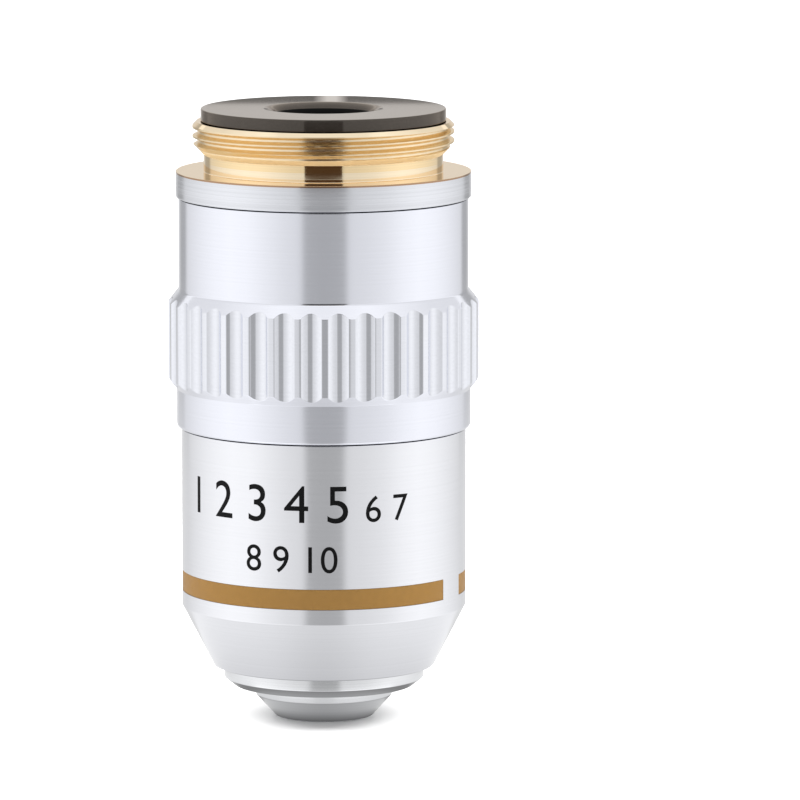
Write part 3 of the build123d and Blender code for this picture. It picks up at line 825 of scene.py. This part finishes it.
def lens_surface(node, lower, upper):
    """Closed lens: two spherical faces from their vertices on the axis to the rim between them."""
    rim = np.float64(reach(node))
    low = foot(node) - min(0.0, float(sag(lower, rim)))
    high = head(node) - max(0.0, float(sag(upper, rim)))
    across = rim * np.linspace(0, 1, LENS_ROWS)[1:]
    below = np.stack([across, low + sag(lower, across)], axis=-1)
    above = np.stack([across, high + sag(upper, across)], axis=-1)[::-1]
    rows = np.concatenate([below, above])[:, None, :]
    angles = even_angles(LENS_STEPS)
    ring = len(angles)
    points = np.concatenate([turned_points(rows, angles).reshape(-1, 3), [[0, 0, low], [0, 0, high]]])
    quads = grid_faces(len(rows), ring, close_rows=False)
    here = np.arange(ring)
    after = (here + 1) % ring
    last = (len(rows) - 1) * ring
    bottom = np.stack([np.full(ring, len(points) - 2), after, here], axis=-1)
    top = np.stack([np.full(ring, len(points) - 1), last + here, last + after], axis=-1)
    faces = quads.tolist() + bottom.tolist() + top.tolist()
    place_mesh(node + "_glass", points, faces, ["lens_glass"], [node])


class OBJECTIVE_OT_lenses(bpy.types.Operator):
    """Front lens, second lens and the two cemented pairs"""

    bl_idname = "objective.lenses"
    bl_label = "Lenses"

    def execute(self, context):
        for node, (lower, upper) in LENS_FACES.items():
            lens_surface(node, lower, upper)
        return {"FINISHED"}


INNER_FINISHES = {
    "dulled_brass": (
        "front_lens_ring", "second_lens_ring", "third_lens_ring", "rear_lens_ring", "stack_ring",
        "short_spacer", "lower_spacer", "upper_spacer", "aperture_stop",
    ),
    "cell_brass": ("second_cell", "third_cell", "rear_cell", "clamp_ring"),
    "shim_steel": ("parfocal_shim",),
}


class OBJECTIVE_OT_inner_pieces(bpy.types.Operator):
    """Finishes of the cells, rings and spacers inside, whose packed shapes stay"""

    bl_idname = "objective.inner_pieces"
    bl_label = "Inner pieces"

    def execute(self, context):
        for finish_name, names in INNER_FINISHES.items():
            for name in names:
                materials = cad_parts[name].data.materials
                materials.clear()
                materials.append(finish(finish_name))
        return {"FINISHED"}


def numeral_line(name, text, height, middle, base, relief):
    """Line of numerals wrapped on the sleeve: x runs round it as x / R, y up it, and depth stands on R."""
    curve = bpy.data.curves.new(name, "FONT")
    curve.body = text
    curve.size = height / CAP_SHARE
    curve.align_x = "CENTER"
    curve.extrude = relief
    curve.resolution_u = NUMERAL_STEPS
    flat = bpy.data.objects.new(name + "_flat", curve)
    bpy.context.scene.collection.objects.link(flat)
    bpy.context.view_layer.update()
    mesh = bpy.data.meshes.new_from_object(flat.evaluated_get(bpy.context.evaluated_depsgraph_get()))
    bpy.data.objects.remove(flat)
    merge = relief / MERGE_PARTS
    cut = bmesh.new()
    cut.from_mesh(mesh)
    bmesh.ops.remove_doubles(cut, verts=cut.verts, dist=merge)
    across = np.array([vertex.co.x for vertex in cut.verts])
    for place in np.arange(across.min(), across.max(), NUMERAL_SLICE)[1:]:
        everything = cut.verts[:] + cut.edges[:] + cut.faces[:]
        bmesh.ops.bisect_plane(cut, geom=everything, plane_co=(place, 0, 0), plane_no=(1, 0, 0), dist=merge)
    bmesh.ops.recalc_face_normals(cut, faces=cut.faces)
    cut.to_mesh(mesh)
    cut.free()
    flat_points = np.zeros(len(mesh.vertices) * 3)
    mesh.vertices.foreach_get("co", flat_points)
    x, y, depth = flat_points.reshape(-1, 3).T
    angle = FRONT + middle + x / SLEEVE_RADIUS
    around = SLEEVE_RADIUS + depth
    wrapped = np.stack([around * np.cos(angle), around * np.sin(angle), base + y], axis=-1)
    faces = [list(face.vertices) for face in mesh.polygons]
    bpy.data.meshes.remove(mesh)
    place_mesh(name, wrapped, faces, ["numeral_ink"])


CAP_SHARE = 0.72
NUMERAL_SLICE = 0.25 * MM
NUMERAL_STEPS = 6
MERGE_PARTS = 20
# Each line: its piece, the setting of its text, height of its figures, direction of its middle, and
# height of its foot
NUMERAL_LINES = (
    ("numerals_large", "first_line", 2.95 * MM, radians(-27), -25.85 * MM),
    ("numerals_small", "first_small", 2.1 * MM, radians(26.5), -25.85 * MM),
    ("numerals_second", "second_line", 2.1 * MM, radians(-13), -29.7 * MM),
)


class OBJECTIVE_OT_numerals(bpy.types.Operator):
    """Plain numerals printed on the sleeve"""

    bl_idname = "objective.numerals"
    bl_label = "Numerals"

    def execute(self, context):
        sizes = context.scene.objective_sizes
        for name, text, height, middle, base in NUMERAL_LINES:
            numeral_line(name, getattr(sizes, text), height, middle, base, sizes.numeral_relief)
        return {"FINISHED"}


# Light tent that only reflections see. Glow by direction from the camera in degrees, the same on both sides
TENT_GLOW = {
    0: 0.45, 14.5: 0.47, 19.5: 0.79, 32: 0.82, 48: 0.9, 64: 1.03, 80: 1.1, 96: 1.06, 112: 0.97, 128: 0.86,
    142: 0.76, 180: 0.78}
# Glow round the foot by distance in millimetres, as a share of the glow further out
FOOT_GLOW = {
    3.8: 0.15, 4.2: 0.32, 4.6: 0.48, 5.4: 0.53, 6.2: 0.41, 6.8: 0.25, 8: 0.28, 9.5: 0.54, 10.5: 0.75,
    15.2: 0.9, 20: 0.98}
# Lifts and dips of the glow as shares, with edges and widths in degrees and reaches in metres
STEP_LIFT = 0.5
STEP_REACH = (17.5 * MM, 19 * MM)
STEP_EDGES = (10, 20, 66, 80)
TIP_LIFT = 0.35
TIP_REACH = (5.4 * MM, 6.0 * MM)
TIP_EDGES = (20, 110)
FOOT_REACH = (21.5 * MM, 26 * MM)
FOOT_DIP = 0.15
FOOT_DIP_WIDTH = 28
LEFT_LIFT = 0.08
LEFT_LIFT_AT = -46
LEFT_LIFT_WIDTH = 22
STRIP_DEPTH = 0.42
STRIP_EDGES = (137, 144, 155, 165)
STRIP_REACH = (0.1, 0.3)
TENT_TURN = 1.4
NEAR_NARROW = 2.4
NEAR_NARROW_REACH = (0.12, 0.25)
TENT_START = 3.6 * MM
TENT_END = 0.8
TENT_HEIGHT = 0.3
TENT_LIFT = 0.05 * MM
TENT_COLUMNS = 720
TENT_ROWS = 90
TENT_WALL_ROWS = 8
# Glow of the ceiling by distance from the axis in millimetres
CEILING_GLOW = {1: 0.93, 205: 0.93, 235: 1.03, 285: 1.09, 345: 1.03, 410: 1.0, 650: 0.87, 1300: 0.82}
CEILING_HEIGHT = 0.55
CEILING_COLUMNS = 90
# Dark cards: glow by place from left to right, distance behind the axis, lower and upper edge, and tint, with
# lengths in millimetres
CARDS = {
    "front_flag": ({-6.3: 0.07, 6.8: 0.07}, -25, (-1.5, 3.3), (1, 0.58, 0.33)),
    "camera_shade": ({-215: 0.08, 255: 0.08}, -750, (-25, 600), (1, 1, 1)),
    "back_flag": ({-9.5: 0.22, -1: 0.19, 0.1: 1, 0.8: 1, 1.8: 0.19, 9.5: 0.24}, 20, (5.2, 6.52), (1, 1, 1)),
}


def ramp(values, low, high):
    """Smooth step from nought at the low end to one at the high end."""
    share = np.clip((values - low) / (high - low), 0, 1)
    return share * share * (3 - 2 * share)


def tent_glow(across, aside):
    """Glow at a distance from the axis and a direction in degrees from the camera, to the right positive.

    Far out it follows the direction, with the left a little brighter and a dim strip at each rear corner.
    Round the foot it follows the distance, with a shallow dip towards the camera, brighter beside it where
    the step of the nose looks, and brighter to the sides close to the tip.
    """
    off = np.abs(aside - TENT_TURN) + NEAR_NARROW * (1 - ramp(across, *NEAR_NARROW_REACH))
    far = np.interp(off, list(TENT_GLOW), list(TENT_GLOW.values()))
    far = far * (1 + LEFT_LIFT * np.exp(-((aside - LEFT_LIFT_AT) / LEFT_LIFT_WIDTH)**2))
    strip = ramp(off, *STRIP_EDGES[:2]) * (1 - ramp(off, *STRIP_EDGES[2:]))
    far = far * (1 - STRIP_DEPTH * strip * ramp(across, *STRIP_REACH))
    near = np.interp(across / MM, list(FOOT_GLOW), list(FOOT_GLOW.values()))
    near = near * (1 - FOOT_DIP * np.exp(-(aside / FOOT_DIP_WIDTH)**2))
    turned = np.abs(aside)
    beside = ramp(turned, *STEP_EDGES[:2]) * (1 - ramp(turned, *STEP_EDGES[2:]))
    near = near * (1 + STEP_LIFT * beside * ramp(across, *STEP_REACH))
    near = near * (1 + TIP_LIFT * ramp(turned, *TIP_EDGES) * (1 - ramp(across, *TIP_REACH)))
    share = ramp(across, *FOOT_REACH)
    return near * (1 - share) + far * share


def glowing_mesh(name, points, faces, glow, tint=(1, 1, 1)):
    """Mesh that carries its own glow at each point, in one tint."""
    mesh = bpy.data.meshes.new(name)
    mesh.from_pydata(points.reshape(-1, 3).tolist(), [], faces)
    light = (glow.reshape(-1, 1) * np.array(tint)).astype(np.float32)
    mesh.attributes.new(GLOW, "FLOAT_VECTOR", "POINT").data.foreach_set("vector", light.reshape(-1))
    return mesh


def tent_surface():
    """Round sheet on the floor that turns up into a wall: radius in equal ratios, then height in steps."""
    angles = even_angles(TENT_COLUMNS)
    spread = np.geomspace(TENT_START, TENT_END, TENT_ROWS)
    rise = np.linspace(0, TENT_HEIGHT, TENT_WALL_ROWS)[1:]
    across = np.concatenate([spread, np.full(len(rise), TENT_END)])
    height = TIP + TENT_LIFT + np.concatenate([np.zeros(len(spread)), rise])
    rows = np.stack([across, height], axis=-1)[:, None, :]
    faces = grid_faces(len(rows), len(angles), close_rows=False)[:, ::-1].tolist()
    aside = np.degrees((angles - FRONT + pi) % TURN - pi)
    glow = tent_glow(*np.broadcast_arrays(across[:, None], aside[None, :]))
    return glowing_mesh("light_tent", turned_points(rows, angles), faces, glow)


def card_surface(name, glow, depth, heights, tint):
    """Upright card that faces the axis: a lower and an upper row of points with the glow of their places."""
    side, height = np.meshgrid(list(glow), heights)
    points = np.stack([side, np.full(side.shape, depth), height], axis=-1) * MM
    faces = grid_faces(2, len(glow), close_rows=False, close_columns=False)
    facing = faces[:, ::-1] if depth < 0 else faces
    return glowing_mesh(name, points, facing.tolist(), np.tile(list(glow.values()), (2, 1)), tint)


def ceiling_surface():
    """Round sheet high above that faces down: rings of points, each with the glow of its distance."""
    angles = even_angles(CEILING_COLUMNS)
    across = np.array(list(CEILING_GLOW)) * MM
    rows = np.stack([across, np.full(len(across), CEILING_HEIGHT)], axis=-1)[:, None, :]
    faces = grid_faces(len(rows), len(angles), close_rows=False).tolist()
    glow = np.repeat(list(CEILING_GLOW.values()), len(angles))
    return glowing_mesh("ceiling", turned_points(rows, angles), faces, glow)


def tent_light():
    """Light of the tent: the mesh's own glow on the side towards the objective, and nothing on the other."""
    material, tree, _ = new_finish("tent_light")
    tree.nodes.clear()
    glow = add_node(tree, "Attribute", attribute_name=GLOW)
    light = add_node(tree, "Emission", {"Color": glow.outputs["Color"]})
    clear = add_node(tree, "BsdfTransparent")
    side = add_node(tree, "NewGeometry")
    either = add_node(tree, "MixShader", {
        "Fac": side.outputs["Backfacing"], 1: light.outputs["Emission"], 2: clear.outputs["BSDF"]})
    add_node(tree, "OutputMaterial", {"Surface": either.outputs["Shader"]})
    return material


def stage_object(name, data, unseen=()):
    """Object of the stage, linked to the scene and hidden from some kinds of ray."""
    item = bpy.data.objects.new(name, data)
    bpy.context.scene.collection.objects.link(item)
    for rays in unseen:
        setattr(item, "visible_" + rays, False)
    return item


def soft_light(name, power, size, place):
    """Round soft light that shines at the foot of the objective and isn't seen itself."""
    light = bpy.data.lights.new(name, "AREA")
    light.shape = "DISK"
    light.size = size
    light.energy = power
    item = stage_object(name, light, ("camera", "glossy"))
    item.location = place
    item.rotation_euler = (Vector((0, 0, TIP)) - place).to_track_quat("-Z", "Y").to_euler()


FLOOR_HALF = 6.0
FLOOR_ROUGHNESS = 0.25
FLOOR_SHINE = 0.08
OVERHEAD_HEIGHT = 0.6
OVERHEAD_SIZE = 0.8
SIDE_DISTANCE = 0.5
SIDE_HEIGHT = 0.46
SIDE_SIZE = 0.35
CLIP_START = 0.01
TENT_UNSEEN = ("camera", "diffuse", "shadow", "transmission", "volume_scatter")


class OBJECTIVE_OT_stage(bpy.types.Operator):
    """Pale floor, white surroundings, soft light, light tent for reflections, and the camera"""

    bl_idname = "objective.stage"
    bl_label = "Stage"

    def execute(self, context):
        scene = context.scene
        studio = scene.objective_studio
        scene.view_settings.view_transform = "Standard"

        floor_mesh = bpy.data.meshes.new("floor")
        square = np.array([[-1, -1], [1, -1], [1, 1], [-1, 1]]) * FLOOR_HALF
        floor_points = np.column_stack([square, np.full(4, TIP)])
        floor_mesh.from_pydata(floor_points.tolist(), [], [[0, 1, 2, 3]])
        floor = stage_object("floor", floor_mesh)
        material, tree, shader = new_finish("pale_floor")
        tone = (studio.floor_tone,) * 3 + (1,)
        feed(tree, shader, {
            "Base Color": tone, "Roughness": FLOOR_ROUGHNESS, "Specular IOR Level": FLOOR_SHINE})
        floor_mesh.materials.append(material)

        light_finish = tent_light()
        cards = [card_surface(name, *card) for name, card in CARDS.items()]
        for mesh in [tent_surface(), ceiling_surface()] + cards:
            mesh.materials.append(light_finish)
            item = stage_object(mesh.name, mesh, TENT_UNSEEN)

        scene.world = bpy.data.worlds.new("white_surroundings")
        scene.world.use_nodes = True
        tree = scene.world.node_tree
        feed(tree, tree.nodes["Background"], {"Color": (1, 1, 1, 1), "Strength": studio.sky})

        soft_light("overhead", studio.overhead, OVERHEAD_SIZE, Vector((0, 0, OVERHEAD_HEIGHT)))
        for name, side in (("left", -SIDE_DISTANCE), ("right", SIDE_DISTANCE)):
            soft_light(name, studio.sides, SIDE_SIZE, Vector((side, 0, SIDE_HEIGHT)))

        lens = bpy.data.cameras.new("camera")
        lens.lens = studio.focal_length
        lens.clip_start = CLIP_START
        camera = stage_object("camera", lens)
        target = Vector((studio.look_side, 0, studio.look_height))
        back = Vector((0, -cos(studio.camera_height), sin(studio.camera_height)))
        camera.location = target + back * studio.camera_distance
        camera.rotation_euler = (-back).to_track_quat("-Z", "Y").to_euler()
        scene.camera = camera
        return {"FINISHED"}


MAKERS = (
    OBJECTIVE_OT_thread_mount,
    OBJECTIVE_OT_rear_stop,
    OBJECTIVE_OT_grip_barrel,
    OBJECTIVE_OT_front_sleeve,
    OBJECTIVE_OT_colour_band,
    OBJECTIVE_OT_lens_tube,
    OBJECTIVE_OT_front_cell,
    OBJECTIVE_OT_lenses,
    OBJECTIVE_OT_inner_pieces,
    OBJECTIVE_OT_numerals,
    OBJECTIVE_OT_stage,
)


class OBJECTIVE_PT_panel(bpy.types.Panel):
    """Sizes, colours, studio and the makers of the objective"""

    bl_idname = "OBJECTIVE_PT_panel"
    bl_label = "Microscope objective"
    bl_space_type = "VIEW_3D"
    bl_region_type = "UI"
    bl_category = "Objective"

    def draw(self, context):
        for heading, group in SETTINGS.items():
            settings = getattr(context.scene, heading)
            box = self.layout.box()
            box.label(text=group.__doc__)
            for name in group.__annotations__:
                box.prop(settings, name)
        for maker in MAKERS:
            self.layout.operator(maker.bl_idname)


SETTINGS = {
    "objective_sizes": ObjectiveSizes,
    "objective_colours": ObjectiveColours,
    "objective_studio": ObjectiveStudio,
}


def register():
    """Make the settings, makers and panel known to Blender."""
    for name, group in SETTINGS.items():
        bpy.utils.register_class(group)
        setattr(bpy.types.Scene, name, PointerProperty(type=group))
    for maker in MAKERS:
        bpy.utils.register_class(maker)
    bpy.utils.register_class(OBJECTIVE_PT_panel)


def unregister():
    """Take the settings, makers and panel away again."""
    bpy.utils.unregister_class(OBJECTIVE_PT_panel)
    for maker in reversed(MAKERS):
        bpy.utils.unregister_class(maker)
    for name, group in reversed(SETTINGS.items()):
        delattr(bpy.types.Scene, name)
        bpy.utils.unregister_class(group)


def main():
    """Build every piece and the stage."""
    register()
    bpy.ops.objective.thread_mount()
    bpy.ops.objective.rear_stop()
    bpy.ops.objective.grip_barrel()
    bpy.ops.objective.front_sleeve()
    bpy.ops.objective.colour_band()
    bpy.ops.objective.lens_tube()
    bpy.ops.objective.front_cell()
    bpy.ops.objective.lenses()
    bpy.ops.objective.inner_pieces()
    bpy.ops.objective.numerals()
    bpy.ops.objective.stage()
    bpy.context.view_layer.update()


if __name__ == "__main__":
    main()
